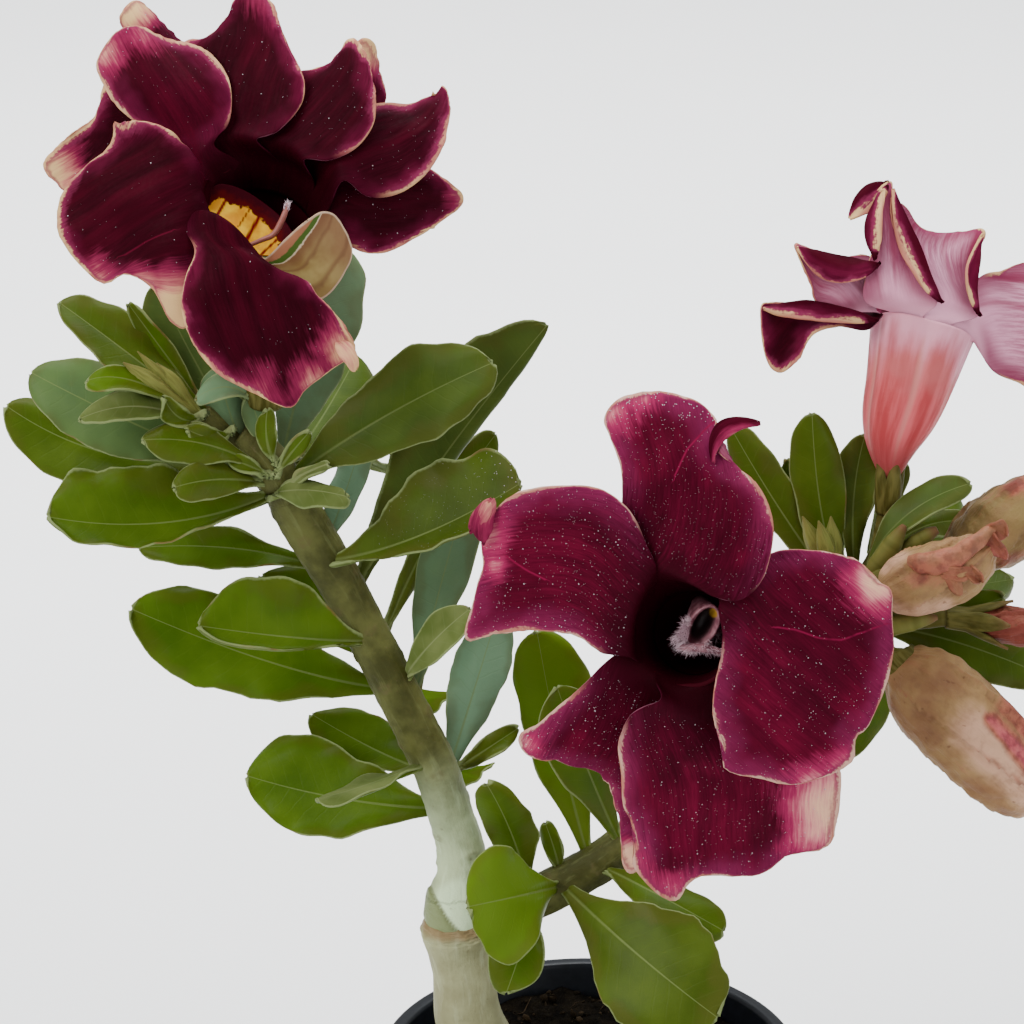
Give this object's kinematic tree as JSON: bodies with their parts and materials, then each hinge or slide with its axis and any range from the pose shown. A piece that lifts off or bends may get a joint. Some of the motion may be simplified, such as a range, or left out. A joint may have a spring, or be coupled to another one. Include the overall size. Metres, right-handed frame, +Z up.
{
  "type": "potted desert rose plant",
  "caption": "Young grafted desert rose with ruffled dark flowers, buds and spoon-shaped leaves on a forked stem, in a plain round nursery pot.",
  "frame": {"origin": "middle of the pot's underside, on the surface that the pot stands on", "axes": "+Z up along the trunk; the flowers face the viewer on the -Y side; +X to the viewer's right"},
  "size_m": [0.2004, 0.0961, 0.2743],
  "materials": {
    "pot": "satin black moulded plastic",
    "soil": "dark moist potting mix with fibres and grit",
    "old_bark": "smooth pale grey-tan bark",
    "young_bark": "smooth olive bark with leaf scars",
    "leaf": "waxy green leaf with a pale midrib",
    "calyx": "downy olive green with brown tips",
    "petal": "velvety burgundy with a cream margin",
    "petal_back": "satin salmon pink to lilac",
    "bud": "satin cream flushed with pink",
    "anther": "woolly pink and white"
  },
  "bodies": {
    "root": {"pot": "pot", "soil": "soil", "rootstock": "old_bark", "scion": "young_bark", "flower_1_petals": "petal", "flower_1_anthers": "anther", "flower_1_calyx": "calyx", "flower_2_petals": "petal", "flower_2_anthers": "anther", "flower_2_calyx": "calyx", "flower_3_petals": "petal_back", "flower_3_anthers": "anther", "flower_3_calyx": "calyx", "bud_twisted": "bud", "bud_twisted_calyx": "calyx", "bud_behind": "bud", "bud_behind_calyx": "calyx", "bud_hanging": "bud", "bud_hanging_calyx": "calyx", "bud_slim": "bud", "bud_slim_calyx": "calyx", "bud_cluster_left": "calyx", "bud_cluster_right": "calyx", "crown_left": "leaf", "crown_right": "leaf", "leaf_under_crown": "leaf", "leaf_front_folded": "leaf", "leaf_behind_folded": "leaf", "leaf_left_broad": "leaf", "leaf_left_low": "leaf", "leaf_left_rising": "leaf", "leaf_front_edge_on": "leaf", "leaf_stem_pale": "leaf", "leaf_right_wavy": "leaf", "leaf_right_tall": "leaf", "leaf_right_hidden": "leaf", "leaf_blue_upper": "leaf", "leaf_blue_crown": "leaf", "leaf_blue_lower": "leaf", "leaf_stem_olive": "leaf", "leaf_fork_tall": "leaf", "leaf_fork_rimmed": "leaf", "leaf_fork_upright": "leaf", "leaf_fork_bright": "leaf", "leaf_fork_round": "leaf", "leaf_fork_small": "leaf", "leaf_low_matte": "leaf", "leaf_low_folded": "leaf", "leaf_back_left": "leaf", "leaf_back_low": "leaf", "leaf_back_right": "leaf"}
  },
  "joints": []
}
